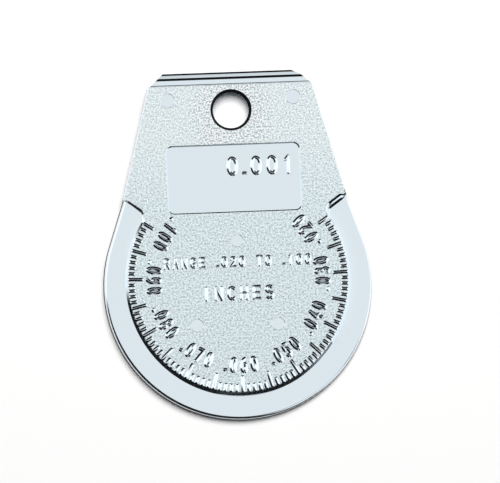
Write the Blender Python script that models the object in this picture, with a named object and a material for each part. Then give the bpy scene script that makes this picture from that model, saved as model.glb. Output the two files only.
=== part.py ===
# Spark plug gap gauge: one flat casting with a tapered measuring rim.
# The outline is a disc with a trapezoid head. The disc's margin is a ramp whose
# thickness, from the flat back, runs from .020 inch to .100 inch along the scale.
# Frame: origin at the disc's centre on the flat back, +X to the right, +Y to the
# head, +Z out of the face. Every length below is in millimetres, every angle in degrees.
import math

import bmesh
import bpy
from mathutils import Matrix

MM = 0.001
INCH = 25.4

# Disc and measuring ramp
RIM_RADIUS = 24.0
RIM_DROP = 0.9
FACE_RADIUS = 20.15
PLATE_THICKNESS = 2.9
SCALE_FIRST = 0.020 * INCH
SCALE_LAST = 0.100 * INCH
SCALE_HALF_SWEEP = 123.0
RIM_SEGMENTS = 82

# Shoulders, where the ramp ends against the head
SHOULDER_X = 19.8
SHOULDER_Y = 15.3
SHOULDER_TILT = 35.0
SHOULDER_FILLET = 1.8
FILLET_SEGMENTS = 8
NECK_STEP = 1

# Head
HEAD_TOP_Y = 35.1
HEAD_TOP_HALF_WIDTH = 14.6
HOLE_Y = 30.5
HOLE_RADIUS = 3.2
HOLE_RIM_RADIUS = 3.65
HOLE_CHAMFER = 0.6
HOLE_SEGMENTS = 48

# Lip at the top, which bends the electrode: a flat land, a sloped step, then a strip that
# leans gently away and ends in a bevel
LIP_LAND_START_Y = 35.3
LIP_LAND_END_Y = 36.06
LIP_STEP_Y = 36.5
LIP_TIP_Y = 37.06
LIP_END_Y = 37.4
LIP_END_HALF_WIDTH = 12.0
LIP_LAND_DROP = 0.15
LIP_STEP = 2.53
LIP_TIP = 2.43
LIP_BACK = 2.26

# Recessed panel in the head
PANEL_HALF_WIDTH = 12.0
PANEL_LOW_Y = 12.1
PANEL_HIGH_Y = 24.35
PANEL_CORNER = 1.2
PANEL_DEPTH = 0.35
CORNER_SEGMENTS = 6

# Raised graduations
BAND_RADIUS = 16.5
TICK_COUNT = 81
TICKS_PER_LONG = 5
TICK_WIDTH = 0.4
TICK_HEIGHT = 0.22
TICK_ROOT = 0.3
TICK_OUTER_RADIUS = 20.1
TICK_LONG_RADIUS = 16.9
TICK_SHORT_RADIUS = 18.4

# Round marks left by the ejector pins of the die
HEAD_PIN_MARKS = ((-11.3, 32.5, 1.3), (11.2, 32.5, 1.3))
DIAL_PIN_MARKS = ((0.1, 7.0, 1.1), (-7.7, -7.9, 1.15), (6.8, -8.1, 1.15))
PIN_MARK_DEPTH = 0.08
PIN_MARK_SEGMENTS = 24


def clear_scene():
    for obj in list(bpy.data.objects):
        bpy.data.objects.remove(obj, do_unlink=True)


def metal(name, colour, roughness):
    material = bpy.data.materials.new(name)
    material.use_nodes = True
    shader = material.node_tree.nodes["Principled BSDF"]
    shader.inputs["Base Color"].default_value = (*colour, 1.0)
    shader.inputs["Roughness"].default_value = roughness
    shader.inputs["Metallic"].default_value = 1.0
    return material


def mesh_object(name, bm, material=None):
    bmesh.ops.recalc_face_normals(bm, faces=bm.faces)
    bmesh.ops.scale(bm, vec=(MM, MM, MM), verts=bm.verts)
    mesh = bpy.data.meshes.new(name)
    bm.to_mesh(mesh)
    bm.free()
    obj = bpy.data.objects.new(name, mesh)
    bpy.context.collection.objects.link(obj)
    if material:
        mesh.materials.append(material)
    return obj


def add_prism(bm, outline, low, high):
    base = bm.faces.new([bm.verts.new((x, y, low)) for x, y in outline])
    grown = bmesh.ops.extrude_face_region(bm, geom=[base])
    raised = [item for item in grown["geom"] if isinstance(item, bmesh.types.BMVert)]
    bmesh.ops.translate(bm, vec=(0.0, 0.0, high - low), verts=raised)


def prism(name, outline, low, high, material=None):
    bm = bmesh.new()
    add_prism(bm, outline, low, high)
    return mesh_object(name, bm, material)


def as_cutter(obj):
    obj.hide_render = True
    obj.display_type = "WIRE"
    return obj


def combine(target, other, operation):
    modifier = target.modifiers.new(other.name, "BOOLEAN")
    modifier.operation = operation
    modifier.solver = "EXACT"
    modifier.object = other


def mirrored(points):
    return [(-x, y) for x, y in reversed(points)]


def arc(centre, radius, start, end, segments):
    points = []
    for step in range(segments + 1):
        angle = math.radians(start + (end - start) * step / segments)
        points.append((centre[0] + radius * math.cos(angle), centre[1] + radius * math.sin(angle)))
    return points


def polar(radius, swing):
    # swing is measured from the bottom of the disc, positive towards +X
    angle = math.radians(swing)
    return (radius * math.sin(angle), -radius * math.cos(angle))


def swing_of(point):
    return math.degrees(math.atan2(point[0], -point[1]))


def ramp_thickness(swing):
    middle = (SCALE_FIRST + SCALE_LAST) / 2
    return middle - swing * (SCALE_LAST - SCALE_FIRST) / (2 * SCALE_HALF_SWEEP)


def fillet_path():
    # Concave arc from the face's circle to the shoulder line, on the +X side.
    tilt = math.radians(SHOULDER_TILT)
    inward = (-math.cos(tilt), -math.sin(tilt))
    start_x = SHOULDER_X + SHOULDER_FILLET * math.sin(tilt)
    start_y = SHOULDER_Y - SHOULDER_FILLET * math.cos(tilt)
    along = start_x * inward[0] + start_y * inward[1]
    reach = FACE_RADIUS + SHOULDER_FILLET
    travel = -along - math.sqrt(along**2 - start_x**2 - start_y**2 + reach**2)
    centre = (start_x + travel * inward[0], start_y + travel * inward[1])
    first = math.degrees(math.atan2(-centre[1], -centre[0])) % 360
    last = 90 + SHOULDER_TILT
    return arc(centre, SHOULDER_FILLET, first, last, FILLET_SEGMENTS)


def face_circle(radius, end_swing, segments):
    return [polar(radius, end_swing * (2 * step / segments - 1)) for step in range(segments + 1)]


def outer_radius(swing):
    # The rim's circle, centred a little below the scale's, then its tangent up to the shoulder.
    corner = (SHOULDER_X, SHOULDER_Y + RIM_DROP)
    turn = swing_of(corner) - math.degrees(math.acos(RIM_RADIUS / math.hypot(*corner)))
    touch_x, touch_y = polar(RIM_RADIUS, turn)
    if abs(swing) <= swing_of((touch_x, touch_y - RIM_DROP)):
        along = RIM_DROP * math.cos(math.radians(swing))
        across = RIM_DROP * math.sin(math.radians(swing))
        return along + math.sqrt(RIM_RADIUS**2 - across**2)
    lift = RIM_RADIUS + RIM_DROP * math.cos(math.radians(turn))
    return lift / math.cos(math.radians(abs(swing) - turn))


def strip_prism(bm, inner, outer, height_at):
    # A band between two paths with equally many points, flat at z = 0.
    for path in (inner, outer):
        verts = [bm.verts.new((x, y, 0.0)) for x, y in path]
        for first, second in zip(verts, verts[1:]):
            bm.edges.new((first, second))
    bmesh.ops.bridge_loops(bm, edges=bm.edges)
    grown = bmesh.ops.extrude_face_region(bm, geom=bm.faces[:])
    for item in grown["geom"]:
        if isinstance(item, bmesh.types.BMVert):
            item.co.z = height_at(item.co)


def rounded_rectangle(half_width, low_y, high_y, corner, segments):
    x = half_width - corner
    right = arc((x, low_y + corner), corner, -90, 0, segments)
    right += arc((x, high_y - corner), corner, 0, 90, segments)
    return right + mirrored(right)


def make_measuring_ramp(material):
    fillet = fillet_path()
    circle = face_circle(FACE_RADIUS, swing_of(fillet[0]), RIM_SEGMENTS)
    inner = mirrored(fillet)[:-1] + circle + fillet[1:]
    start_swing = swing_of(fillet[0])
    gain = (swing_of((SHOULDER_X, SHOULDER_Y)) - start_swing) / FILLET_SEGMENTS
    end_swings = [start_swing + gain * step for step in range(1, FILLET_SEGMENTS + 1)]
    swings = [-swing for swing in reversed(end_swings)]
    swings += [swing_of(point) for point in circle] + end_swings
    outer = [polar(outer_radius(swing), swing) for swing in swings]
    bm = bmesh.new()
    strip_prism(bm, inner, outer, lambda place: ramp_thickness(swing_of(place)))
    return mesh_object("measuring_ramp", bm, material)


def pin_marks(name, marks):
    bm = bmesh.new()
    for x, y, radius in marks:
        bmesh.ops.create_cone(
            bm,
            cap_ends=True,
            segments=PIN_MARK_SEGMENTS,
            radius1=radius,
            radius2=radius,
            depth=2 * PIN_MARK_DEPTH,
            matrix=Matrix.Translation((x, y, PLATE_THICKNESS)),
        )
    return as_cutter(mesh_object(name, bm))


def hanging_hole():
    # A turned cutter: a straight hole that opens out at the face.
    flare = (HOLE_RIM_RADIUS - HOLE_RADIUS) / HOLE_CHAMFER
    top = PLATE_THICKNESS + HOLE_CHAMFER
    profile = [
        (0.0, -1.0),
        (HOLE_RADIUS, -1.0),
        (HOLE_RADIUS, PLATE_THICKNESS - HOLE_CHAMFER),
        (HOLE_RIM_RADIUS + flare * HOLE_CHAMFER, top),
        (0.0, top),
    ]
    bm = bmesh.new()
    verts = [bm.verts.new((x, HOLE_Y, z)) for x, z in profile]
    edges = [bm.edges.new(pair) for pair in zip(verts, verts[1:])]
    bmesh.ops.spin(
        bm,
        geom=verts + edges,
        cent=(0.0, HOLE_Y, 0.0),
        axis=(0.0, 0.0, 1.0),
        angle=math.tau,
        steps=HOLE_SEGMENTS,
        use_merge=True,
    )
    bmesh.ops.remove_doubles(bm, verts=bm.verts, dist=0.0001)
    return as_cutter(mesh_object("hole_cutter", bm))


def panel_outline():
    return rounded_rectangle(
        PANEL_HALF_WIDTH, PANEL_LOW_Y, PANEL_HIGH_Y, PANEL_CORNER, CORNER_SEGMENTS
    )


def make_head_plate(material):
    side = fillet_path()[NECK_STEP:]
    side += [(SHOULDER_X, SHOULDER_Y), (HEAD_TOP_HALF_WIDTH, HEAD_TOP_Y)]
    head = prism("head_plate", side + mirrored(side), 0.0, PLATE_THICKNESS, material)
    window = prism("panel_cutter", panel_outline(), -1.0, PLATE_THICKNESS + 1.0)
    combine(head, as_cutter(window), "DIFFERENCE")
    combine(head, hanging_hole(), "DIFFERENCE")
    combine(head, pin_marks("head_pin_cutter", HEAD_PIN_MARKS), "DIFFERENCE")
    return head


def make_label_panel(material):
    return prism("label_panel", panel_outline(), 0.0, PLATE_THICKNESS - PANEL_DEPTH, material)


def band_inner_path():
    neck_y = fillet_path()[NECK_STEP][1]
    neck_swing = math.degrees(math.acos(-neck_y / BAND_RADIUS))
    return face_circle(BAND_RADIUS, neck_swing, RIM_SEGMENTS)


def make_dial_plate(material):
    dial = prism("dial_plate", band_inner_path(), 0.0, PLATE_THICKNESS, material)
    combine(dial, pin_marks("dial_pin_cutter", DIAL_PIN_MARKS), "DIFFERENCE")
    return dial


def graduations():
    bm = bmesh.new()
    for index in range(TICK_COUNT):
        is_long = index % TICKS_PER_LONG == 0
        inner_radius = TICK_LONG_RADIUS if is_long else TICK_SHORT_RADIUS
        swing = SCALE_HALF_SWEEP * (2 * index / (TICK_COUNT - 1) - 1)
        middle = polar((inner_radius + TICK_OUTER_RADIUS) / 2, swing)
        centre = (*middle, PLATE_THICKNESS + (TICK_HEIGHT - TICK_ROOT) / 2)
        size = (TICK_WIDTH, TICK_OUTER_RADIUS - inner_radius, TICK_HEIGHT + TICK_ROOT)
        turn = Matrix.Rotation(math.radians(swing), 4, "Z")
        place = Matrix.Translation(centre) @ turn @ Matrix.Diagonal((*size, 1.0))
        bmesh.ops.create_cube(bm, size=1.0, matrix=place)
    return as_cutter(mesh_object("graduation_ridges", bm))


def make_scale_band(material):
    foot = fillet_path()[: NECK_STEP + 1]
    circle = face_circle(FACE_RADIUS, swing_of(foot[0]), RIM_SEGMENTS)
    outer = mirrored(foot)[:-1] + circle + foot[1:]
    outline = outer + band_inner_path()[::-1]
    band = prism("scale_band", outline, 0.0, PLATE_THICKNESS, material)
    combine(band, graduations(), "UNION")
    return band


def make_bending_lip(material):
    # The side profile, drawn across the head and then cut back to its bevelled corners.
    profile = [
        (HEAD_TOP_Y, 0.0),
        (LIP_END_Y, 0.0),
        (LIP_END_Y, LIP_BACK),
        (LIP_TIP_Y, LIP_TIP),
        (LIP_STEP_Y, LIP_STEP),
        (LIP_LAND_END_Y, PLATE_THICKNESS - LIP_LAND_DROP),
        (LIP_LAND_START_Y, PLATE_THICKNESS - LIP_LAND_DROP),
        (HEAD_TOP_Y, PLATE_THICKNESS),
    ]
    width = 2 * HEAD_TOP_HALF_WIDTH
    bm = bmesh.new()
    side = bm.faces.new([bm.verts.new((-HEAD_TOP_HALF_WIDTH, y, z)) for y, z in profile])
    grown = bmesh.ops.extrude_face_region(bm, geom=[side])
    moved = [item for item in grown["geom"] if isinstance(item, bmesh.types.BMVert)]
    bmesh.ops.translate(bm, vec=(width, 0.0, 0.0), verts=moved)
    run = HEAD_TOP_HALF_WIDTH - LIP_END_HALF_WIDTH
    rise = LIP_END_Y - HEAD_TOP_Y
    for direction in (-1, 1):
        cut = bmesh.ops.bisect_plane(
            bm,
            geom=bm.verts[:] + bm.edges[:] + bm.faces[:],
            dist=0.00001,
            plane_co=(direction * HEAD_TOP_HALF_WIDTH, HEAD_TOP_Y, 0.0),
            plane_no=(direction * rise, run, 0.0),
            clear_outer=True,
        )
        edges = [item for item in cut["geom_cut"] if isinstance(item, bmesh.types.BMEdge)]
        bmesh.ops.contextual_create(bm, geom=edges)
    return mesh_object("bending_lip", bm, material)


def main():
    clear_scene()
    cast = metal("cast_face", (0.60, 0.64, 0.68), 0.38)
    smooth = metal("smooth_nickel", (0.72, 0.77, 0.81), 0.22)
    make_head_plate(cast.copy())
    make_dial_plate(cast.copy())
    make_scale_band(cast.copy())
    make_label_panel(smooth.copy())
    make_bending_lip(smooth.copy())
    make_measuring_ramp(smooth.copy())


main()
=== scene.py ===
import math

import bmesh
import bpy
from mathutils import Matrix, Vector


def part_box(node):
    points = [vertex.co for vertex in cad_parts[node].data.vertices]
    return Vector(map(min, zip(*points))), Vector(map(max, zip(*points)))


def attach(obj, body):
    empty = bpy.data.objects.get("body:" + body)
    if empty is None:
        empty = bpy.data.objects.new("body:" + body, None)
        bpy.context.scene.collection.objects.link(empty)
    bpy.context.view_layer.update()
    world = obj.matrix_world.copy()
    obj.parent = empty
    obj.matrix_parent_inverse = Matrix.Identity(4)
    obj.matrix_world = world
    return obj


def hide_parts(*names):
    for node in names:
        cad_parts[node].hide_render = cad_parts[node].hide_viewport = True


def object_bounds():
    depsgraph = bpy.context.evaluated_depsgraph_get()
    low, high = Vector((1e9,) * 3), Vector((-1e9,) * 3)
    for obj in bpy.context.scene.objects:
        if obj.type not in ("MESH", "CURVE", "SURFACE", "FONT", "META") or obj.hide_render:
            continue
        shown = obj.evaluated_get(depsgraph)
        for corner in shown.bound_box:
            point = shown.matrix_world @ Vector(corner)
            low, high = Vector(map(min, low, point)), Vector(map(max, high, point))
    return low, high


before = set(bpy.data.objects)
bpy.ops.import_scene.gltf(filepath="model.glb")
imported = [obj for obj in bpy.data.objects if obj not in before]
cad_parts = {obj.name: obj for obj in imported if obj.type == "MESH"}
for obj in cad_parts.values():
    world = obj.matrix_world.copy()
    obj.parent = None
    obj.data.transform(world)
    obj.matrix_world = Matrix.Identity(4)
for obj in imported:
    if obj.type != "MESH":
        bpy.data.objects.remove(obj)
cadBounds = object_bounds()
print("frame loaded:", ", ".join(sorted(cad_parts)))

# The pieces are drawn in millimetres and scaled to metres when they are finished.
metresPerMm = 0.001
creaseAngle = 35  # degrees, from which an edge stays crisp
mitreLimit = 0.5  # least cosine between a mitre and its sides


def boxOf(node):
    low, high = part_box(node)
    return low / metresPerMm, high / metresPerMm


headHigh = boxOf("head_plate")[1]
bandHigh = boxOf("scale_band")[1]
lipHigh = boxOf("bending_lip")[1]
rampLow, rampHigh = boxOf("measuring_ramp")
panelLow, panelHigh = boxOf("label_panel")

# What the frame says, in the gauge's own terms
gauge = {
    "rimRadius": rampHigh.x,
    "rimCentreY": rampLow.y + rampHigh.x,
    "faceRadius": bandHigh.x,
    "faceTop": headHigh.z,
    "shoulderX": headHigh.x,
    "shoulderY": rampHigh.y,
    "headTopY": headHigh.y,
    "headTopX": lipHigh.x,
    "panelX": panelHigh.x,
    "panelLowY": panelLow.y,
    "panelHighY": panelHigh.y,
    "panelTop": panelHigh.z,
}

# The scale: thickness in inches along the swing, which is the angle from the disc's bottom
scale = {
    "inch": 25.4,
    "first": 0.020,
    "last": 0.100,
    "halfSweep": 123.0,
    "marks": 81,
    "marksPerLong": 5,
    "marksPerNumeral": 10,
}


def polar(radius, swing):
    angle = math.radians(swing)
    return (radius * math.sin(angle), -radius * math.cos(angle))


def swingOf(x, y):
    return math.degrees(math.atan2(x, -y))


def rampHeight(swing):
    middle = (scale["first"] + scale["last"]) / 2
    fall = (scale["last"] - scale["first"]) / (2 * scale["halfSweep"])
    return (middle - swing * fall) * scale["inch"]


def arcPoints(centre, radius, start, end, steps):
    points = []
    for step in range(steps + 1):
        angle = math.radians(start + (end - start) * step / steps)
        points.append((centre[0] + radius * math.cos(angle), centre[1] + radius * math.sin(angle)))
    return points


def mirrored(points):
    return [(-x, y) for x, y in reversed(points)]


def loftRings(bm, rings):
    # Extrudes a closed ring of edges through the places of the next ones, and gives the end rings' edges.
    rank = bm.verts.layers.int.get("rank") or bm.verts.layers.int.new("rank")
    verts = []
    for index, place in enumerate(rings[0]):
        vert = bm.verts.new(place)
        vert[rank] = index
        verts.append(vert)
    firstEdges = [bm.edges.new(pair) for pair in zip(verts, verts[1:] + verts[:1])]
    edges = firstEdges
    for ring in rings[1:]:
        grown = bmesh.ops.extrude_edge_only(bm, edges=edges)["geom"]
        for item in grown:
            if isinstance(item, bmesh.types.BMVert):
                item.co = ring[item[rank]]
        edges = [item for item in grown if isinstance(item, bmesh.types.BMEdge) and item.is_boundary]
    return firstEdges, edges


def outwardNormals(path):
    # Mitred outward directions of a counter-clockwise closed path.
    normals = []
    count = len(path)
    for index in range(count):
        before, here, after = (Vector(path[(index + shift) % count]) for shift in (-1, 0, 1))
        first = (here - before).normalized()
        second = (after - here).normalized()
        firstOut = Vector((first.y, -first.x))
        secondOut = Vector((second.y, -second.x))
        middle = (firstOut + secondOut).normalized()
        normals.append(middle / max(middle.dot(secondOut), mitreLimit))
    return normals


def markSharp(bm, angle):
    # Creases stay crisp where the surface turns sharply or where one finish meets another.
    for face in bm.faces:
        face.smooth = True
    for edge in bm.edges:
        meets = len({face.material_index for face in edge.link_faces}) > 1
        edge.smooth = not meets and edge.calc_face_angle(0.0) < math.radians(angle)


def finishPiece(name, bm, materials, sharpAngle=creaseAngle):
    bmesh.ops.scale(bm, vec=(metresPerMm,) * 3, verts=bm.verts)
    markSharp(bm, sharpAngle)
    mesh = bpy.data.meshes.new(name)
    bm.to_mesh(mesh)
    bm.free()
    piece = bpy.data.objects.new(name, mesh)
    bpy.context.scene.collection.objects.link(piece)
    for material in materials:
        mesh.materials.append(material)
    return piece


# Materials: nickel plating over a grained cast skin and over smooth walls, and a near-black painted shade
def newMaterial(name):
    material = bpy.data.materials.new(name)
    material.use_nodes = True
    tree = material.node_tree
    return material, tree, tree.nodes["Principled BSDF"]


def addNode(tree, kind, settings=(), **inputs):
    # An input is given by its socket's name, or by its number after an n.
    node = tree.nodes.new(kind)
    for key, value in dict(settings).items():
        setattr(node, key, value)
    for key, value in inputs.items():
        socket = node.inputs[int(key[1:])] if key[0] == "n" and key[1:].isdigit() else node.inputs[key]
        if hasattr(value, "is_output"):
            tree.links.new(value, socket)
        else:
            socket.default_value = value
    return node


def vectorMath(tree, operation, *values):
    inputs = {f"n{index}": value for index, value in enumerate(values)}
    return addNode(tree, "ShaderNodeVectorMath", {"operation": operation}, **inputs)


def smoothRange(tree, value, start, end):
    # 0 at start, 1 at end
    node = addNode(tree, "ShaderNodeMapRange", {"interpolation_type": "SMOOTHSTEP"}, Value=value)
    node.inputs["From Min"].default_value = start
    node.inputs["From Max"].default_value = end
    return node.outputs["Result"]


plating = {
    "smoothColour": (0.71, 0.79, 0.842, 1.0),
    "smoothRoughness": (0.06, 0.14),
    "hazeScale": 160.0,
    # Noise values and colours of the dark and the light grain: over the disc, over the head, round the hole
    # (a painted sparkle)
    "grainTones": (
        (0.34, 0.60, (0.46, 0.56, 0.60, 1.0), (0.86, 0.96, 0.99, 1.0)),
        (0.34, 0.62, (0.55, 0.65, 0.69, 1.0), (0.93, 1.0, 1.0, 1.0)),
        (0.40, 0.55, (0.42, 0.51, 0.55, 1.0), (0.97, 1.0, 1.0, 1.0)),
    ),
    "headStart": (0.010, 0.027),
    "paintedSparkleCentre": (0.0, 0.0295, 0.0),
    "paintedSparkleShape": (1.0, 0.8, 0.0),
    "paintedSparkleRange": (0.0085, 0.005),
    "grainRoughness": 0.24,
    "grainScale": 3100.0,
    "grainBump": 0.00005,
    "bumpStrength": 0.6,
    "darkLow": (0.004, 0.005, 0.006, 1.0),
    "darkHigh": (0.016, 0.018, 0.02, 1.0),
    "darkScale": 900.0,
    "darkRoughness": 0.6,
    "darkSpecular": 0.02,
}


def makeSmoothPlating():
    material, tree, shader = newMaterial("smoothPlating")
    place = addNode(tree, "ShaderNodeTexCoord").outputs["Object"]
    haze = addNode(tree, "ShaderNodeTexNoise", Vector=place, Scale=plating["hazeScale"], Detail=3.0)
    spread = addNode(tree, "ShaderNodeMapRange", Value=haze.outputs["Fac"])
    spread.inputs["To Min"].default_value = plating["smoothRoughness"][0]
    spread.inputs["To Max"].default_value = plating["smoothRoughness"][1]
    tree.links.new(spread.outputs["Result"], shader.inputs["Roughness"])
    shader.inputs["Base Color"].default_value = plating["smoothColour"]
    shader.inputs["Metallic"].default_value = 1.0
    return material


def makeGrainPlating():
    material, tree, shader = newMaterial("grainPlating")
    place = addNode(tree, "ShaderNodeTexCoord").outputs["Object"]
    grain = addNode(tree, "ShaderNodeTexNoise", Vector=place, Scale=plating["grainScale"], Detail=2.0)
    tones = []
    for low, high, dark, light in plating["grainTones"]:
        tone = addNode(tree, "ShaderNodeValToRGB", Fac=grain.outputs["Fac"])
        tone.color_ramp.elements[0].position = low
        tone.color_ramp.elements[0].color = dark
        tone.color_ramp.elements[1].position = high
        tone.color_ramp.elements[1].color = light
        tones.append(tone.outputs["Color"])
    # The skin is brighter over the head, and brightest round the hole, where a painted sparkle (painted
    # highlight) stands in for glints of light.
    along = addNode(tree, "ShaderNodeSeparateXYZ", Vector=place).outputs["Y"]
    head = smoothRange(tree, along, *plating["headStart"])
    offset = vectorMath(tree, "SUBTRACT", place, plating["paintedSparkleCentre"]).outputs["Vector"]
    squash = vectorMath(tree, "MULTIPLY", offset, plating["paintedSparkleShape"]).outputs["Vector"]
    reach = vectorMath(tree, "LENGTH", squash).outputs["Value"]
    paintedSparkle = smoothRange(tree, reach, *plating["paintedSparkleRange"])
    mixed = tones[0]
    for factor, tone in ((head, tones[1]), (paintedSparkle, tones[2])):
        blend = addNode(tree, "ShaderNodeMix", {"data_type": "RGBA"}, n0=factor)
        tree.links.new(mixed, blend.inputs[6])
        tree.links.new(tone, blend.inputs[7])
        mixed = blend.outputs[2]
    tree.links.new(mixed, shader.inputs["Base Color"])
    bump = addNode(tree, "ShaderNodeBump", Height=grain.outputs["Fac"])
    bump.inputs["Strength"].default_value = plating["bumpStrength"]
    bump.inputs["Distance"].default_value = plating["grainBump"]
    tree.links.new(bump.outputs["Normal"], shader.inputs["Normal"])
    shader.inputs["Roughness"].default_value = plating["grainRoughness"]
    shader.inputs["Metallic"].default_value = 1.0
    return material


def makePaintedShade():
    # Painted shade: a near-black, dull material laid where the plating should look dark
    material, tree, shader = newMaterial("paintedShade")
    place = addNode(tree, "ShaderNodeTexCoord").outputs["Object"]
    shadeNoise = addNode(tree, "ShaderNodeTexNoise", Vector=place, Scale=plating["darkScale"], Detail=2.0)
    tone = addNode(tree, "ShaderNodeValToRGB", Fac=shadeNoise.outputs["Fac"])
    tone.color_ramp.elements[0].color = plating["darkLow"]
    tone.color_ramp.elements[1].color = plating["darkHigh"]
    tree.links.new(tone.outputs["Color"], shader.inputs["Base Color"])
    shader.inputs["Roughness"].default_value = plating["darkRoughness"]
    shader.inputs["Specular IOR Level"].default_value = plating["darkSpecular"]
    return material


grainPlating = makeGrainPlating()
smoothPlating = makeSmoothPlating()
paintedShade = makePaintedShade()
# The plating finishes and the painted shade, by slot
finishesAndShade = [grainPlating, smoothPlating, paintedShade]
grainedSlot, smoothSlot, paintedShadeSlot = range(len(finishesAndShade))
print("materials made")

# The face plate: the disc's face and the head, with drafted walls, the hole and the panel
plate = {
    "edgeRound": 0.13,
    "softEdgeRound": 0.42,  # at the right shoulder
    "supportGap": 0.03,
    "wallWidth": 0.42,  # how far the wall leans out from top to foot
    "lowWallWidth": 0.64,  # at the disc's bottom
    "leftWallWidth": 0.3,  # up the left shoulder
    "rightWallWidth": 0.5,  # up the right shoulder
    "lowShift": 0.55,  # outwards, at the disc's bottom
    "highStart": 11.2,  # where the shoulders' walls begin
    "highLength": 1.0,
    "sideDraft": 4.0,  # of the head's outer walls
    "footFillet": 0.16,
    "softFootFillet": 0.42,
    "footShare": 0.4,
    "footTurn": 80.0,
    "footSunk": 0.01,  # below the ramp's surface
    "footSkirt": 0.1,  # hidden in the ramp
    "footInset": 0.2,
    "backRound": 0.12,
    "backGap": 0.02,
    "roundSteps": 4,
    "circleSteps": 246,
    "creaseX": 17.05,  # beyond which the right shoulder's creases get painted shade
    "creaseY": 12.3,
    "left": {"neckX": 16.75, "drop": 0.35, "fillet": 1.2},
    "right": {"neckX": 17.0, "drop": 0.8, "fillet": 0.5},
    "filletSteps": 14,
    "shoulderTilt": 35.0,
    "fadeLength": 0.5,  # over which walls lose their flare at the shoulder's corner
    "holeY": 30.5,
    "holeRadius": 3.2,
    "holeRimRadius": 3.7,
    # Countersink from the rim down to the bore, and the bore down to the back: (beyond the radius, height)
    "holeFace": ((0.08, 0.0), (0.03, 0.0), (0.0, -0.02), (-0.02, -0.05), (-0.21, -0.25)),
    "holeThroat": ((0.07, -0.52), (0.02, -0.66), (0.0, -0.9)),
    "holeBack": ((0.0, 0.2), (0.04, 0.07), (0.15, 0.0), (0.2, 0.0)),
    "holeDarkLow": 2.1,  # height above which the countersink gets painted shade
    "holeSteps": 96,
    "panelCorner": 1.2,
    "panelRound": 0.04,
    "panelFoot": 0.05,
    "panelLean": 64.0,
    "panelSteps": 10,
    "pinMarks": (
        (-11.3, 32.5, 1.3),
        (11.2, 32.5, 1.3),
        (0.1, 7.0, 1.1),
        (-7.7, -7.9, 1.15),
        (6.8, -8.1, 1.15),
    ),
    "pinDepth": 0.05,
    "pinRound": 0.03,
    "pinLean": 48.0,
    "pinSteps": 48,
    "flatNormal": 0.95,  # least upward part of a grained face's normal
    "creaseNormals": (0.28, 0.99),
    "sunkenDepth": 0.02,
}


def pointsBetween(start, end, shares):
    return [(start[0] + (end[0] - start[0]) * t, start[1] + (end[1] - start[1]) * t) for t in shares]


def shoulderCorner(side):
    # Where the shoulder line meets the head's edge, carried down along that edge
    lean = (gauge["shoulderX"] - gauge["headTopX"]) / (gauge["headTopY"] - gauge["shoulderY"])
    return gauge["shoulderX"] + side["drop"] * lean, gauge["shoulderY"] - side["drop"]


def plateSide(side):
    # Half of the outline, from the disc's bottom up to the head's corner, on the +X side
    corner = shoulderCorner(side)
    tilt = math.radians(plate["shoulderTilt"])
    radius = side["fillet"]
    neckX = side["neckX"]
    bendY = corner[1] - (corner[0] - neckX) * math.tan(tilt)
    centre = (neckX + radius, bendY - radius * math.tan(math.pi / 4 - tilt / 2))
    fillet = arcPoints(centre, radius, 180, 90 + plate["shoulderTilt"], plate["filletSteps"])
    leaveY = math.sqrt(gauge["faceRadius"] ** 2 - neckX**2)
    reach = swingOf(neckX, leaveY)
    steps = plate["circleSteps"] // 2
    circle = [polar(gauge["faceRadius"], reach * k / steps) for k in range(steps + 1)]
    headCorner = (gauge["headTopX"], gauge["headTopY"])
    # Shares of the way along each straight stretch, close together where the wall's shape changes
    neck = pointsBetween(circle[-1], fillet[0], (0.35, 0.7))
    shoulder = pointsBetween(fillet[-1], corner, (0.25, 0.5, 0.75, 1.0))
    edge = pointsBetween(corner, headCorner, (0.02, 0.05, 0.1, 0.5, 0.97, 1.0))
    stations = [(x, y, "ramp") for x, y in circle + neck + fillet + shoulder]
    return stations + [(x, y, "floor") for x, y in edge]


def plateStations():
    # The outline counter-clockwise from the head's left corner: (x, y, what the wall stands on)
    left = [(-x, y, stand) for x, y, stand in reversed(plateSide(plate["left"])[1:])]
    return left + plateSide(plate["right"])


def wallProfile(foot, width, concave, softShare):
    # (outward offset, height) from the top's flat down to the ramp, where the wall is concave, or
    # to the floor, and then in to the back: the same count either way
    top = gauge["faceTop"]
    edge = plate["edgeRound"] + (plate["softEdgeRound"] - plate["edgeRound"]) * softShare
    steps = plate["roundSteps"]
    draft = math.atan2(width, top - foot) if concave else math.radians(plate["sideDraft"])
    places = [(-edge - plate["supportGap"], top)]
    for step in range(steps + 1):
        turn = (math.pi / 2 - draft) * step / steps
        places.append((edge * (math.sin(turn) - 1), top + edge * (math.cos(turn) - 1)))
    lastOut, lastHigh = places[-1]
    if concave:
        fillet = plate["footFillet"] + (plate["softFootFillet"] - plate["footFillet"]) * softShare
        fillet = min(fillet, plate["footShare"] * (top - foot))
        drop = lastHigh - foot - fillet * (1 - math.sin(draft))
        middle = lastOut + drop * math.tan(draft) + fillet * math.cos(draft)
        for step in range(steps + 1):
            turn = draft + (math.radians(plate["footTurn"]) - draft) * step / steps
            high = foot + fillet * (1 - math.sin(turn)) - plate["footSunk"]
            places.append((middle - fillet * math.cos(turn), high))
        places.append((places[-1][0], foot - plate["footSkirt"]))
        places.append((places[-1][0] - plate["footInset"], 0.0))
    else:
        back = plate["backRound"]
        drop = lastHigh - back * (1 + math.sin(draft))
        middle = lastOut + drop * math.tan(draft) - back * math.cos(draft)
        for step in range(steps + 1):
            turn = -draft + (math.pi / 2 + draft) * step / steps
            places.append((middle + back * math.cos(turn), back * (1 - math.sin(turn))))
        places.append((middle - plate["backGap"], 0.0))
        places.append((middle - plate["footInset"], 0.0))
    return places


def fadeAt(x, y):
    # Walls lose their flare towards the shoulder's corner, where two of them meet.
    cornerX, cornerY = shoulderCorner(plate["right" if x > 0 else "left"])
    gap = math.hypot(abs(x) - cornerX, y - cornerY)
    return min(gap / plate["fadeLength"], 1.0)


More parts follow.
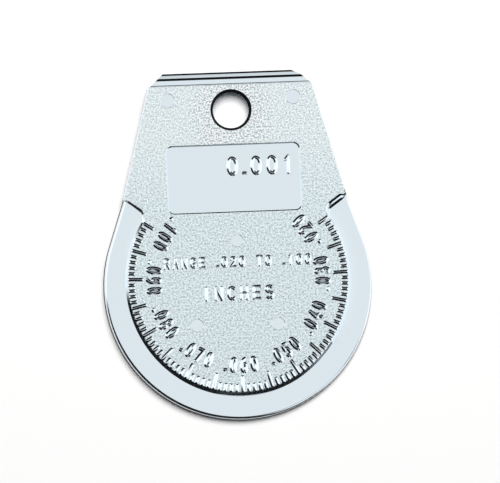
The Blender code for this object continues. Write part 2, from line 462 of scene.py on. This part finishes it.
def roundedRectangle(halfWidth, lowY, highY, corner, steps):
    x = halfWidth - corner
    right = arcPoints((x, lowY + corner), corner, -90, 0, steps)
    right += arcPoints((x, highY - corner), corner, 0, 90, steps)
    return right + mirrored(right)


def pocketRings(path, depth, edge, foot, leanAngle):
    # Rings down into a pocket whose wall leans out, from the top's flat to the floor
    steps = plate["roundSteps"]
    profile = [(edge + plate["supportGap"], 0.0)]
    lean = math.radians(leanAngle)
    for step in range(steps + 1):
        turn = lean * step / steps
        profile.append((edge * (1 - math.sin(turn)), -edge * (1 - math.cos(turn))))
    startOut, startDown = profile[-1]
    drop = depth + startDown - foot * (1 - math.cos(lean))
    for step in range(steps + 1):
        turn = lean * (1 - step / steps)
        out = startOut - drop / math.tan(lean) - foot * (math.sin(lean) - math.sin(turn))
        profile.append((out, -depth + foot * (1 - math.cos(turn))))
    profile.append((profile[-1][0] - plate["supportGap"], -depth))
    normals = outwardNormals(path)
    top = gauge["faceTop"]
    return [
        [(x + n.x * out, y + n.y * out, top + down) for (x, y), n in zip(path, normals)]
        for out, down in profile
    ]


def holeRings():
    # The hanging hole: a rounded countersink at the face and a rounded edge at the back
    top = gauge["faceTop"]
    rim, bore = plate["holeRimRadius"], plate["holeRadius"]
    profile = [(rim + out, top + down) for out, down in plate["holeFace"]]
    profile += [(bore + out, top + down) for out, down in plate["holeThroat"]]
    profile += [(bore + out, height) for out, height in plate["holeBack"]]
    rings = []
    for radius, height in profile:
        circle = arcPoints((0.0, plate["holeY"]), radius, 0, 360, plate["holeSteps"])[:-1]
        rings.append([(x, y, height) for x, y in circle])
    return rings


def wallRings():
    # Rings of the plate's outer wall, from the top's flat to the back's
    stations = plateStations()
    normals = outwardNormals([(x, y) for x, y, stand in stations])
    columns = []
    for (x, y, stand), normal in zip(stations, normals):
        onRamp = stand == "ramp"
        foot = rampHeight(swingOf(x, y)) if onRamp else 0.0
        lowShare = max(-y / gauge["faceRadius"], 0.0) ** 2
        highShare = min(max((y - plate["highStart"]) / plate["highLength"], 0.0), 1.0)
        width = plate["wallWidth"] + (plate["lowWallWidth"] - plate["wallWidth"]) * lowShare
        width += (plate["rightWallWidth" if x > 0 else "leftWallWidth"] - width) * highShare
        softShare = highShare if onRamp and x > 0 else 0.0
        column = []
        for out, height in wallProfile(foot, width, onRamp, softShare):
            if onRamp:
                out = min(out, 0.0) + (max(out, 0.0) - width) * fadeAt(x, y) + plate["lowShift"] * lowShare
            column.append((x + normal.x * out, y + normal.y * out, height))
        columns.append(column)
    return list(zip(*columns))


def pocketPlaces():
    # The panel and the round pin marks: (outline, depth, edge's rounding, foot's rounding, lean)
    panelPath = roundedRectangle(
        gauge["panelX"], gauge["panelLowY"], gauge["panelHighY"], plate["panelCorner"], plate["panelSteps"]
    )
    depth = gauge["faceTop"] - gauge["panelTop"]
    pockets = [(panelPath, depth, plate["panelRound"], plate["panelFoot"], plate["panelLean"])]
    for x, y, radius in plate["pinMarks"]:
        pinPath = arcPoints((x, y), radius, 0, 360, plate["pinSteps"])[:-1]
        pockets.append((pinPath, plate["pinDepth"], plate["pinRound"], plate["pinRound"], plate["pinLean"]))
    return pockets


def plateFinishOrShade(face):
    # Grained skin on the flats, smooth plating on the walls and in the pockets, and painted
    # shade in the hole's countersink and the right shoulder's creases
    middle = face.calc_center_median()
    below = middle.z < gauge["faceTop"] - plate["sunkenDepth"]
    fromHole = math.hypot(middle.x, middle.y - plate["holeY"])
    # Painted shade: the dark ring round the hole's countersink
    if below and fromHole < plate["holeRimRadius"] and middle.z > plate["holeDarkLow"]:
        return paintedShadeSlot
    # Painted shade: dark lines along the right shoulder's creases
    onShoulder = middle.x > plate["creaseX"] and plate["creaseY"] < middle.y < gauge["shoulderY"]
    steepest, flattest = plate["creaseNormals"]
    if onShoulder and steepest < face.normal.z < flattest:
        return paintedShadeSlot
    inPanel = abs(middle.x) < gauge["panelX"] and gauge["panelLowY"] < middle.y < gauge["panelHighY"]
    inPin = any(math.hypot(middle.x - x, middle.y - y) < radius for x, y, radius in plate["pinMarks"])
    if abs(face.normal.z) < plate["flatNormal"] or (below and (inPanel or inPin)):
        return smoothSlot
    return grainedSlot


def makeFacePlate():
    bm = bmesh.new()
    topEdges, backEdges = loftRings(bm, wallRings())
    holeTop, holeBack = loftRings(bm, holeRings())
    topEdges += holeTop
    pocketFloors = []
    for pocket in pocketPlaces():
        pocketTop, pocketFloor = loftRings(bm, pocketRings(*pocket))
        pocketFloors.append(pocketFloor)
        topEdges += pocketTop
    for floorEdges in pocketFloors:
        bmesh.ops.triangle_fill(bm, edges=floorEdges, use_beauty=True, normal=(0, 0, 1))
    bmesh.ops.triangle_fill(bm, edges=topEdges, use_beauty=True, normal=(0, 0, 1))
    bmesh.ops.triangle_fill(bm, edges=backEdges + holeBack, use_beauty=True, normal=(0, 0, -1))
    bmesh.ops.recalc_face_normals(bm, faces=bm.faces)
    for face in bm.faces:
        face.material_index = plateFinishOrShade(face)
    bmesh.ops.triangulate(bm, faces=bm.faces)
    return finishPiece("facePlate", bm, finishesAndShade)


# The measuring ramp round the disc
rim = {
    "innerRadius": 19.0,
    "hiddenSwing": 131.0,
    "hiddenFall": 0.12,
    "sections": 262,
    "fullRoundTop": 1.3,
    "softRound": 0.7,
    "softTurn": 35.0,
    "hardRound": 0.07,
    "wallDraft": 9.0,
    "skirtShare": 0.45,  # of the height: the foot of the outer wall, which gets painted shade
    "skirtFacing": 0.5,
    "backRound": 0.3,
    "backShare": 0.2,
    "roundSteps": 5,
    "supportGap": 0.04,
}


def rimRadiusAt(swing):
    # The rim's circle, its tangent up to the shoulder, then a path hidden in the head
    radius, drop = gauge["rimRadius"], -gauge["rimCentreY"]
    cornerX, cornerY = gauge["shoulderX"], gauge["shoulderY"] + drop
    turn = swingOf(cornerX, cornerY) - math.degrees(math.acos(radius / math.hypot(cornerX, cornerY)))
    touchX, touchY = polar(radius, turn)
    if abs(swing) <= swingOf(touchX, touchY - drop):
        across = drop * math.sin(math.radians(swing))
        return drop * math.cos(math.radians(swing)) + math.sqrt(radius**2 - across**2)
    corner = swingOf(gauge["shoulderX"], gauge["shoulderY"])
    seen = min(abs(swing), corner)
    lift = radius + drop * math.cos(math.radians(turn))
    return lift / math.cos(math.radians(seen - turn)) - rim["hiddenFall"] * (abs(swing) - seen)


def rimSection(swing):
    # Inner edge, flat top, softly rolled edge, drafted wall and rounded back edge
    top = rampHeight(swing)
    outer = rimRadiusAt(swing)
    draft = math.radians(rim["wallDraft"])
    soft = math.radians(rim["softTurn"])
    share = min(top / rim["fullRoundTop"], 1.0)
    softRound, hardRound = share * rim["softRound"], share * rim["hardRound"]
    back = min(rim["backRound"], rim["backShare"] * top)
    steps = rim["roundSteps"]
    steep = math.pi / 2 - draft
    softRun, softDrop = softRound * math.sin(soft), softRound * (1 - math.cos(soft))
    hardRun = hardRound * (math.sin(steep) - math.sin(soft))
    hardDrop = hardRound * (math.cos(soft) - math.cos(steep))
    wallTop = outer - (top - softDrop - hardDrop - back) * math.tan(draft)
    start = wallTop - hardRun - softRun
    places = [(rim["innerRadius"], 0.0), (rim["innerRadius"], top), (start - rim["supportGap"], top)]
    for step in range(steps + 1):
        turn = soft * step / steps
        places.append((start + softRound * math.sin(turn), top - softRound * (1 - math.cos(turn))))
    for step in range(1, steps + 1):
        turn = soft + (steep - soft) * step / steps
        run = hardRound * (math.sin(turn) - math.sin(soft))
        fall = hardRound * (math.cos(soft) - math.cos(turn))
        places.append((start + softRun + run, top - softDrop - fall))
    skirt = rim["skirtShare"] * top
    places.append((outer - (skirt - back) * math.tan(draft), skirt))
    for step in range(steps + 1):
        turn = math.pi / 2 * step / steps
        places.append((outer - back + back * math.cos(turn), back * (1 - math.sin(turn))))
    places.append((outer - back - rim["supportGap"], 0.0))
    return [(*polar(radius, swing), height) for radius, height in places]


def makeMeasuringRim():
    count = rim["sections"]
    swings = [rim["hiddenSwing"] * (2 * k / count - 1) for k in range(count + 1)]
    bm = bmesh.new()
    ends = loftRings(bm, [rimSection(swing) for swing in swings])
    for edges in ends:
        bmesh.ops.triangle_fill(bm, edges=edges, use_beauty=True)
    bmesh.ops.recalc_face_normals(bm, faces=bm.faces)
    # Painted shade on the foot of the rim's outer wall; smooth plating elsewhere
    for face in bm.faces:
        middle = face.calc_center_median()
        away = middle.to_2d()
        outside = face.normal.to_2d().dot(away) > rim["skirtFacing"] * away.length
        onSkirt = outside and middle.z < rim["skirtShare"] * rampHeight(swingOf(middle.x, middle.y))
        face.material_index = paintedShadeSlot if onSkirt else smoothSlot
    bmesh.ops.triangulate(bm, faces=bm.faces)
    return finishPiece("measuringRim", bm, finishesAndShade)


# The stepped lip on top of the head: a flat land, a step, a strip that leans away and a bevel
lip = {
    "endHalfWidth": 12.15,
    "cornerHalfWidth": 11.1,
    "cornerY": 36.5,
    "cornerWidth": 12.86,
    "stepDrop": 0.04,
    "landDrop": 0.15,
    "landStartY": 35.29,
    "landEndY": 36.06,
    "grooveY": 36.5,
    "groove": 2.53,
    "tipY": 37.06,
    "tip": 2.43,
    "endY": 37.4,
    "back": 2.26,
    "overlap": 0.1,
    "inset": 0.25,
    "lift": 0.005,
    "edge": 0.02,
    "edgeFall": 0.01,
    "stepRun": 0.05,
    "backRound": ((0.12, 0.005), (0.03, 0.03), (0.0, 0.12)),
}


def lipProfile():
    # (y, z) from the foot at the head, round the back edge and over the top to the head again
    step = gauge["faceTop"] - lip["stepDrop"]
    land = gauge["faceTop"] - lip["landDrop"]
    rootY = gauge["headTopY"] - lip["overlap"]
    edge, fall = lip["edge"], lip["edgeFall"]
    return [
        (rootY, lip["lift"]),
        *((lip["endY"] - inward, z) for inward, z in lip["backRound"]),
        (lip["endY"], lip["back"] - lip["stepRun"]),
        (lip["endY"] - edge, lip["back"]),
        (lip["tipY"] + edge, lip["tip"] - fall),
        (lip["tipY"] - edge, lip["tip"]),
        (lip["grooveY"] + 1.5 * edge, lip["groove"]),
        (lip["grooveY"] - edge, lip["groove"] + fall),
        (lip["landEndY"] + edge, land - fall),
        (lip["landEndY"] - edge, land),
        (lip["landStartY"], land),
        (gauge["headTopY"] + lip["stepRun"], step),
        (rootY, step),
    ]


def makeBendingLip():
    startY, endY = gauge["headTopY"], lip["endY"]
    run = gauge["headTopX"] - lip["endHalfWidth"]
    rise = endY - startY
    rings = []
    for side in (-1, 1):
        ring = []
        for y, z in lipProfile():
            halfWidth = gauge["headTopX"] - lip["inset"] - run * (y - startY) / rise
            if side > 0 and y > lip["cornerY"]:
                share = (y - lip["cornerY"]) / (endY - lip["cornerY"])
                halfWidth = lip["cornerWidth"] + (lip["cornerHalfWidth"] - lip["cornerWidth"]) * share
            ring.append((side * halfWidth, y, z))
        rings.append(ring)
    bm = bmesh.new()
    ends = loftRings(bm, rings)
    for edges in ends:
        bmesh.ops.triangle_fill(bm, edges=edges, use_beauty=True)
    bmesh.ops.recalc_face_normals(bm, faces=bm.faces)
    for face in bm.faces:
        face.material_index = smoothSlot
    bmesh.ops.triangulate(bm, faces=bm.faces)
    return finishPiece("bendingLip", bm, finishesAndShade)


weldGap = 0.0000002  # metres


def weldTogether(name, base, others):
    # One casting out of overlapping solids
    for other in others:
        union = base.modifiers.new(other.name, "BOOLEAN")
        union.operation = "UNION"
        union.solver = "EXACT"
        union.object = other
    bpy.context.view_layer.update()
    graph = bpy.context.evaluated_depsgraph_get()
    mesh = bpy.data.meshes.new_from_object(base.evaluated_get(graph))
    mesh.name = name
    piece = bpy.data.objects.new(name, mesh)
    bpy.context.scene.collection.objects.link(piece)
    for old in [base, *others]:
        bpy.data.objects.remove(old, do_unlink=True)
    bm = bmesh.new()
    bm.from_mesh(mesh)
    bmesh.ops.remove_doubles(bm, verts=bm.verts, dist=weldGap)
    bmesh.ops.holes_fill(bm, edges=[edge for edge in bm.edges if edge.is_boundary], sides=4)
    markSharp(bm, creaseAngle)
    bm.to_mesh(mesh)
    bm.free()
    return piece


casting = weldTogether("gaugeCasting", makeFacePlate(), [makeMeasuringRim(), makeBendingLip()])
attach(casting, "root")
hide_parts("head_plate", "dial_plate", "label_panel", "measuring_ramp", "bending_lip")
print("casting made:", len(casting.data.polygons), "faces")

# Raised marks of the scale
marks = {
    "width": 0.68,
    "height": 0.21,
    "crown": 0.12,
    "endCrown": 0.5,
    "sunk": 0.01,
    "outerRadius": 19.72,
    "lowOuter": 0.36,
    "lowInner": 0.15,
    "longRadius": 16.9,
    "endLongRadius": 17.5,
    "shortRadius": 18.4,
    "edgeRound": 0.05,
}


def addMark(bm, swing, innerRadius):
    # A box narrowed to a crown, with rounded upper edges
    top = gauge["faceTop"] + marks["height"]
    low = gauge["faceTop"] - marks["sunk"]
    lowShare = max(math.cos(math.radians(swing)), 0.0) ** 2
    innerRadius += marks["lowInner"] * lowShare
    outerRadius = marks["outerRadius"] + marks["lowOuter"] * lowShare
    length = outerRadius - innerRadius
    made = bmesh.ops.create_cube(bm, size=1.0)["verts"]
    crown = [vert for vert in made if vert.co.z > 0]
    for vert in crown:
        vert.co.x *= marks["crown"]
        vert.co.y *= 1 - (1 - marks["endCrown"]) / length
    edges = {edge for vert in crown for edge in vert.link_edges}
    bmesh.ops.scale(bm, vec=(marks["width"], length, top - low), verts=made)
    middle = polar((innerRadius + outerRadius) / 2, swing)
    turn = Matrix.Rotation(math.radians(swing), 4, "Z")
    place = Matrix.Translation((*middle, (top + low) / 2)) @ turn
    bmesh.ops.transform(bm, matrix=place, verts=made)
    bmesh.ops.bevel(
        bm,
        geom=list(edges),
        offset=marks["edgeRound"],
        segments=2,
        profile=0.5,
        affect="EDGES",
        material=-1,
    )


def makeGraduations():
    bm = bmesh.new()
    last = scale["marks"] - 1
    for index in range(scale["marks"]):
        swing = scale["halfSweep"] * (2 * index / last - 1)
        radius = marks["shortRadius"]
        if index % scale["marksPerLong"] == 0:
            radius = marks["endLongRadius"] if index in (0, last) else marks["longRadius"]
        addMark(bm, swing, radius)
    return finishPiece("graduations", bm, [smoothPlating])


graduations = makeGraduations()
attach(graduations, "root")
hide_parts("scale_band")
print("graduations made")

# Raised characters: sloped ridges along strokes
lettering = {
    "slope": 0.84,
    "crown": 0.08,
    "crownShoulder": 0.93,
    "sunk": 0.06,
    "step": 0.0005,
    "arcStep": 18.0,
    "endShares": ((0.3, 0.95), (0.6, 0.8), (0.85, 0.53), (0.98, 0.2)),
    "weldGap": 0.0002,
    "sharpAngle": 40,
}


def line(startX, startY, endX, endY):
    # A stroke: its points, and whether it loops
    return [(startX, startY), (endX, endY)], False


def arc(x, y, radiusX, radiusY, start, end):
    steps = math.ceil(abs(end - start) / lettering["arcStep"])
    points = []
    for step in range(steps + 1):
        angle = math.radians(start + (end - start) * step / steps)
        points.append((x + radiusX * math.cos(angle), y + radiusY * math.sin(angle)))
    loops = abs(end - start) >= 360
    return (points[:-1] if loops else points), loops


# Each character is a few strokes in a cell one unit wide and one unit high.
stem = line(0.06, 0.0, 0.06, 1.0)
farStem = line(0.94, 0.0, 0.94, 1.0)
topBar = line(0.0, 1.0, 1.0, 1.0)
strokes = {
    "0": [arc(0.5, 0.5, 0.5, 0.5, 0, 360)],
    "1": [line(0.55, 0.0, 0.55, 1.0), line(0.55, 1.0, 0.25, 0.8)],
    "2": [arc(0.5, 0.7, 0.46, 0.3, 165, -38), line(0.86, 0.52, 0.04, 0.0), line(0.04, 0.0, 1.0, 0.0)],
    "3": [arc(0.46, 0.75, 0.44, 0.25, 150, -90), arc(0.46, 0.26, 0.52, 0.26, 90, -150)],
    "4": [line(0.72, 0.0, 0.72, 1.0), line(0.72, 1.0, 0.0, 0.3), line(0.0, 0.3, 1.0, 0.3)],
    "5": [line(0.92, 1.0, 0.16, 1.0), line(0.16, 1.0, 0.1, 0.56), arc(0.46, 0.33, 0.5, 0.33, 135, -145)],
    "6": [arc(0.5, 0.31, 0.48, 0.31, 0, 360), arc(0.86, 0.31, 0.84, 0.69, 180, 98)],
    "7": [topBar, line(1.0, 1.0, 0.35, 0.0)],
    "8": [arc(0.5, 0.76, 0.4, 0.24, 0, 360), arc(0.5, 0.26, 0.48, 0.26, 0, 360)],
    "9": [arc(0.5, 0.69, 0.48, 0.31, 0, 360), arc(0.14, 0.69, 0.84, 0.69, 0, -82)],
    ".": [line(0.38, 0.06, 0.62, 0.06)],
    "A": [line(0.0, 0.0, 0.5, 1.0), line(0.5, 1.0, 1.0, 0.0), line(0.2, 0.38, 0.8, 0.38)],
    "C": [arc(0.55, 0.5, 0.52, 0.5, 50, 310)],
    "E": [stem, *(line(0.06, y, reach, y) for y, reach in ((1.0, 0.95), (0.5, 0.8), (0.0, 0.95)))],
    "G": [arc(0.52, 0.5, 0.5, 0.5, 50, 355), line(1.0, 0.42, 0.6, 0.42)],
    "H": [stem, farStem, line(0.06, 0.5, 0.94, 0.5)],
    "I": [line(0.5, 0.0, 0.5, 1.0)],
    "N": [stem, line(0.06, 1.0, 0.94, 0.0), farStem],
    "O": [arc(0.5, 0.5, 0.5, 0.5, 0, 360)],
    "R": [
        stem,
        line(0.06, 1.0, 0.6, 1.0),
        arc(0.6, 0.76, 0.34, 0.24, 90, -90),
        line(0.06, 0.52, 0.6, 0.52),
        line(0.5, 0.52, 0.98, 0.0),
    ],
    "S": [arc(0.48, 0.75, 0.44, 0.25, 40, 270), arc(0.52, 0.25, 0.46, 0.25, 90, -140)],
    "T": [topBar, line(0.5, 1.0, 0.5, 0.0)],
}


def ridgeProfile(name, width):
    # The cross-section of a raised stroke: sloped flanks under a narrow rounded crown
    half, crown = width / 2, lettering["crown"] * width
    top = lettering["slope"] * (half - crown)
    outline = [
        (half, -lettering["sunk"]),
        (half, 0.0),
        (crown, top * lettering["crownShoulder"]),
        (crown / 2, top),
        (-crown / 2, top),
        (-crown, top * lettering["crownShoulder"]),
        (-half, 0.0),
        (-half, -lettering["sunk"]),
    ]
    curve = bpy.data.curves.new(name, "CURVE")
    curve.dimensions = "2D"
    spline = curve.splines.new("POLY")
    spline.points.add(len(outline) - 1)
    for spot, (x, y) in zip(spline.points, outline):
        spot.co = (x, y, 0.0, 1.0)
    spline.use_cyclic_u = True
    section = bpy.data.objects.new(name, curve)
    bpy.context.scene.collection.objects.link(section)
    return section


def addStroke(curve, points, loops, radius, base):
    # A ridge along the stroke; open ends are rounded off.
    places = [(Vector(point), 1.0) for point in points]
    if not loops:
        for end, beyond in ((0, 1), (-1, -2)):
            tip = Vector(points[end])
            away = (tip - Vector(points[beyond])).normalized()
            caps = [(tip + away * radius * far, thin) for far, thin in lettering["endShares"]]
            places = caps[::-1] + places if end == 0 else places + caps
    spline = curve.splines.new("POLY")
    spline.points.add(len(places) - 1)
    for spot, (place, thickness) in zip(spline.points, places):
        spot.co = (place.x, place.y, base, 1.0)
        spot.radius = thickness
    spline.use_cyclic_u = loops
    spline.use_smooth = True


def makeLettering(name, placed, size, base):
    # placed: pairs of a character and the matrix that places its cell; size: its height, width and stroke
    height, charWidth, strokeWidth = size["height"], size["width"], size["stroke"]
    section = ridgeProfile(name + "Section", strokeWidth)
    curve = bpy.data.curves.new(name, "CURVE")
    curve.dimensions = "3D"
    curve.twist_mode = "Z_UP"
    curve.bevel_mode = "OBJECT"
    curve.bevel_object = section
    curve.use_fill_caps = True
    reach = strokeWidth / 2
    for character, place in placed:
        for points, loops in strokes[character]:
            spots = []
            for x, y in points:
                localX = (x - 0.5) * (charWidth - strokeWidth)
                localY = reach + y * (height - strokeWidth)
                spot = place @ Vector((localX, localY, 0.0))
                spots.append((spot.x, spot.y))
            addStroke(curve, spots, loops, reach, base + lettering["step"] * len(curve.splines))
    drawn = bpy.data.objects.new(name + "Curve", curve)
    bpy.context.scene.collection.objects.link(drawn)
    graph = bpy.context.evaluated_depsgraph_get()
    mesh = bpy.data.meshes.new_from_object(drawn.evaluated_get(graph))
    bpy.data.objects.remove(drawn, do_unlink=True)
    bpy.data.objects.remove(section, do_unlink=True)
    bm = bmesh.new()
    bm.from_mesh(mesh)
    bpy.data.meshes.remove(mesh)
    bmesh.ops.remove_doubles(bm, verts=bm.verts, dist=lettering["weldGap"])
    bmesh.ops.recalc_face_normals(bm, faces=bm.faces)
    piece = finishPiece(name, bm, [smoothPlating], lettering["sharpAngle"])
    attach(piece, "root")
    print(name, "made:", len(piece.data.polygons), "faces")


# The numerals round the scale; lead, growth and the pitches are degrees of swing
numerals = {
    "height": 3.0,
    "width": 1.5,
    "stroke": 0.72,
    "lead": 1.3,
    "growth": 0.8,
    "baseRadius": 16.6,
    "lowShift": 0.15,
    "pitch": 6.9,
    "dotPitch": 3.2,
}


def makeScaleNumerals():
    placed = []
    last = scale["marks"] - 1
    for index in range(0, scale["marks"], scale["marksPerNumeral"]):
        swing = scale["halfSweep"] * (2 * index / last - 1)
        inches = scale["last"] - (scale["last"] - scale["first"]) * index / last
        text = f"{inches:.3f}"[1:]
        widths = [numerals["dotPitch"] if character == "." else numerals["pitch"] for character in text]
        angle = swing - (sum(widths) + numerals["dotPitch"]) / 2
        angle += numerals["lead"] + numerals["growth"] * swing / scale["halfSweep"]
        for character, width in zip(text, widths):
            middle = angle + width / 2
            lowShare = max(math.cos(math.radians(middle)), 0.0) ** 2
            spot = polar(numerals["baseRadius"] + numerals["lowShift"] * lowShare, middle)
            turn = Matrix.Rotation(math.radians(middle), 4, "Z")
            placed.append((character, Matrix.Translation((*spot, 0.0)) @ turn))
            angle += width
    makeLettering("scaleNumerals", placed, numerals, gauge["faceTop"])


makeScaleNumerals()

# Straight lines of characters: the name of the piece, then its text and where it stands
straightWords = {
    "unitLettering": {
        "text": "INCHES",
        "span": (-6.9, 6.6),
        "baseline": -3.75,
        "floor": "faceTop",
        "height": 2.75,
        "width": 1.8,
        "stroke": 0.62,
    },
    "rangeLettering": {
        "text": "RANGE .020 TO .100",
        "span": (-13.4, 13.4),
        "baseline": 2.2,
        "floor": "faceTop",
        "height": 2.15,
        "width": 1.3,
        "stroke": 0.5,
    },
    "stepNumerals": {
        "text": "0.001",
        "span": (-1.6, 11.2),
        "baseline": 18.6,
        "floor": "panelTop",
        "height": 3.6,
        "width": 2.15,
        "stroke": 0.64,
    },
}
dotShare = 0.5  # of another character's pitch


def makeStraightWords(name, words):
    # Characters spread evenly over the span, on one baseline
    shares = [dotShare if character == "." else 1.0 for character in words["text"]]
    x, right = words["span"]
    unit = (right - x) / sum(shares)
    placed = []
    for character, share in zip(words["text"], shares):
        if character != " ":
            place = Matrix.Translation((x + share * unit / 2, words["baseline"], 0.0))
            placed.append((character, place))
        x += share * unit
    makeLettering(name, placed, words, gauge[words["floor"]])


for name, words in straightWords.items():
    makeStraightWords(name, words)

# Floor, light and camera; lengths in metres apart from the aim
stageSet = {
    "floorSize": 3.0,
    "floorColour": (0.965, 0.97, 0.975, 1.0),
    "floorRoughness": 0.9,
    "floorGap": 0.00002,
    "keyTilt": 24.0,
    "keyAcross": 0.03,
    "keyCentre": (0.0, 0.007, 0.0),
    "keyDistance": 0.9,
    "keySize": 0.66,
    "keyPower": 10.0,
    "keyColour": (1.0, 0.99, 0.98),
}


def makeFloor():
    bm = bmesh.new()
    bmesh.ops.create_grid(bm, x_segments=2, y_segments=2, size=stageSet["floorSize"] / 2)
    bmesh.ops.translate(bm, vec=(0, 0, cadBounds[0].z - stageSet["floorGap"]), verts=bm.verts)
    mesh = bpy.data.meshes.new("floor")
    bm.to_mesh(mesh)
    bm.free()
    material, tree, shader = newMaterial("paleFloor")
    shader.inputs["Base Color"].default_value = stageSet["floorColour"]
    shader.inputs["Roughness"].default_value = stageSet["floorRoughness"]
    mesh.materials.append(material)
    floor = bpy.data.objects.new("floor", mesh)
    bpy.context.scene.collection.objects.link(floor)


def makeKeyLight():
    lamp = bpy.data.lights.new("keyLight", "AREA")
    lamp.shape = "DISK"
    lamp.size = stageSet["keySize"]
    lamp.energy = stageSet["keyPower"]
    lamp.color = stageSet["keyColour"]
    key = bpy.data.objects.new("keyLight", lamp)
    tilt = math.radians(stageSet["keyTilt"])
    centre = Vector(stageSet["keyCentre"])
    towardsKey = Vector((stageSet["keyAcross"], math.sin(tilt), math.cos(tilt)))
    key.location = centre + stageSet["keyDistance"] * towardsKey
    key.rotation_euler = (centre - key.location).to_track_quat("-Z", "Y").to_euler()
    key.visible_glossy = False
    bpy.context.scene.collection.objects.link(key)


# A light tent, white all round and above, with three dark openings and one small lamp. A pair says
# where a patch starts and where it is full, along one axis of the direction or by the angle's cosine.
tent = {
    "zenith": 1.26,
    "low": 1.7,
    "rise": (0.75, 0.97),
    "back": (0.45, 0.60),
    "backLevel": 0.01,
    "near": (-0.07, -0.12),
    "nearEnd": (-0.955, -0.90),
    "nearRight": (0.72, 0.55),
    "nearLevel": 0.02,
    "cornerAzimuth": -138.0,
    "cornerSpread": (0.72, 0.81),
    "cornerRise": (0.93, 0.86),
    "cornerLevel": 0.02,
    "lamp": (0.379, -0.355, 0.854),
    "lampSpread": (0.975, 0.988),
    "lampLevel": 1.9,
    "soft": 0.1,
}


def productOf(tree, *values):
    result = values[0]
    for value in values[1:]:
        node = addNode(tree, "ShaderNodeMath", {"operation": "MULTIPLY"}, n0=result, n1=value)
        result = node.outputs["Value"]
    return result


def mixOf(tree, factor, first, second):
    node = addNode(tree, "ShaderNodeMix", {"data_type": "FLOAT"}, n0=factor, n2=first, n3=second)
    return node.outputs[0]


def tentPatches(tree, direction, acrossX, acrossY, up):
    # The openings low behind the head (+Y), above the near side (-Y) and low beyond the near left
    # corner, and the lamp: pairs of a mask and a level
    back = smoothRange(tree, acrossY, *tent["back"])
    near = productOf(
        tree,
        smoothRange(tree, acrossY, *tent["near"]),
        smoothRange(tree, acrossY, *tent["nearEnd"]),
        smoothRange(tree, acrossX, *tent["nearRight"]),
    )
    level = addNode(tree, "ShaderNodeCombineXYZ", X=acrossX, Y=acrossY).outputs["Vector"]
    around = vectorMath(tree, "NORMALIZE", level).outputs["Vector"]
    azimuth = math.radians(tent["cornerAzimuth"])
    towards = (math.cos(azimuth), math.sin(azimuth), 0.0)
    cornerDot = vectorMath(tree, "DOT_PRODUCT", around, towards).outputs["Value"]
    corner = productOf(
        tree,
        smoothRange(tree, cornerDot, *tent["cornerSpread"]),
        smoothRange(tree, up, *tent["cornerRise"]),
    )
    lampDot = vectorMath(tree, "DOT_PRODUCT", direction, tent["lamp"]).outputs["Value"]
    lamp = smoothRange(tree, lampDot, *tent["lampSpread"])
    return [
        (back, tent["backLevel"]),
        (near, tent["nearLevel"]),
        (corner, tent["cornerLevel"]),
        (lamp, tent["lampLevel"]),
    ]


def makeWorld():
    world = bpy.data.worlds.new("lightTent")
    world.use_nodes = True
    tree = world.node_tree
    tree.nodes.clear()
    direction = addNode(tree, "ShaderNodeTexCoord").outputs["Generated"]
    acrossX, acrossY, up = addNode(tree, "ShaderNodeSeparateXYZ", Vector=direction).outputs
    brightness = mixOf(tree, smoothRange(tree, up, *tent["rise"]), tent["low"], tent["zenith"])
    for mask, level in tentPatches(tree, direction, acrossX, acrossY, up):
        brightness = mixOf(tree, mask, brightness, level)
    # The tent shows in mirror reflections; every other ray gets a soft, even light.
    path = addNode(tree, "ShaderNodeLightPath")
    settings = {"operation": "SUBTRACT", "use_clamp": True}
    direct = addNode(tree, "ShaderNodeMath", settings, n0=1.0, n1=path.outputs["Diffuse Depth"])
    mirrorRay = productOf(tree, path.outputs["Is Glossy Ray"], direct.outputs["Value"])
    light = mixOf(tree, mirrorRay, tent["soft"], brightness)
    sheet = addNode(tree, "ShaderNodeBackground", Strength=light)
    addNode(tree, "ShaderNodeOutputWorld", Surface=sheet.outputs["Background"])
    bpy.context.scene.world = world


view = {
    "distance": 0.9,
    "frameWidth": 0.0892,
    "aim": (2.4, 6.8, 2.5),  # millimetres
    "tiltDown": 5.0,
    "tiltLeft": 4.0,
    "roll": 2.5,
    "sensor": 36.0,
}


def makeCamera():
    lens = bpy.data.cameras.new("camera")
    lens.sensor_width = view["sensor"]
    lens.lens = view["sensor"] * view["distance"] / view["frameWidth"]
    camera = bpy.data.objects.new("camera", lens)
    aim = Vector(view["aim"]) * metresPerMm
    left, down = math.radians(view["tiltLeft"]), math.radians(view["tiltDown"])
    away = Vector((-math.tan(left), -math.tan(down), 1.0)).normalized()
    roll = math.radians(view["roll"])
    upward = Vector((math.sin(roll), math.cos(roll), 0.0))
    right = upward.cross(away).normalized()
    upward = away.cross(right)
    turn = Matrix((right, upward, away)).transposed().to_4x4()
    camera.matrix_world = Matrix.Translation(aim + away * view["distance"]) @ turn
    bpy.context.scene.collection.objects.link(camera)
    bpy.context.scene.camera = camera


makeFloor()
makeKeyLight()
makeWorld()
makeCamera()
bpy.context.scene.view_settings.view_transform = "Standard"
print("stage set")
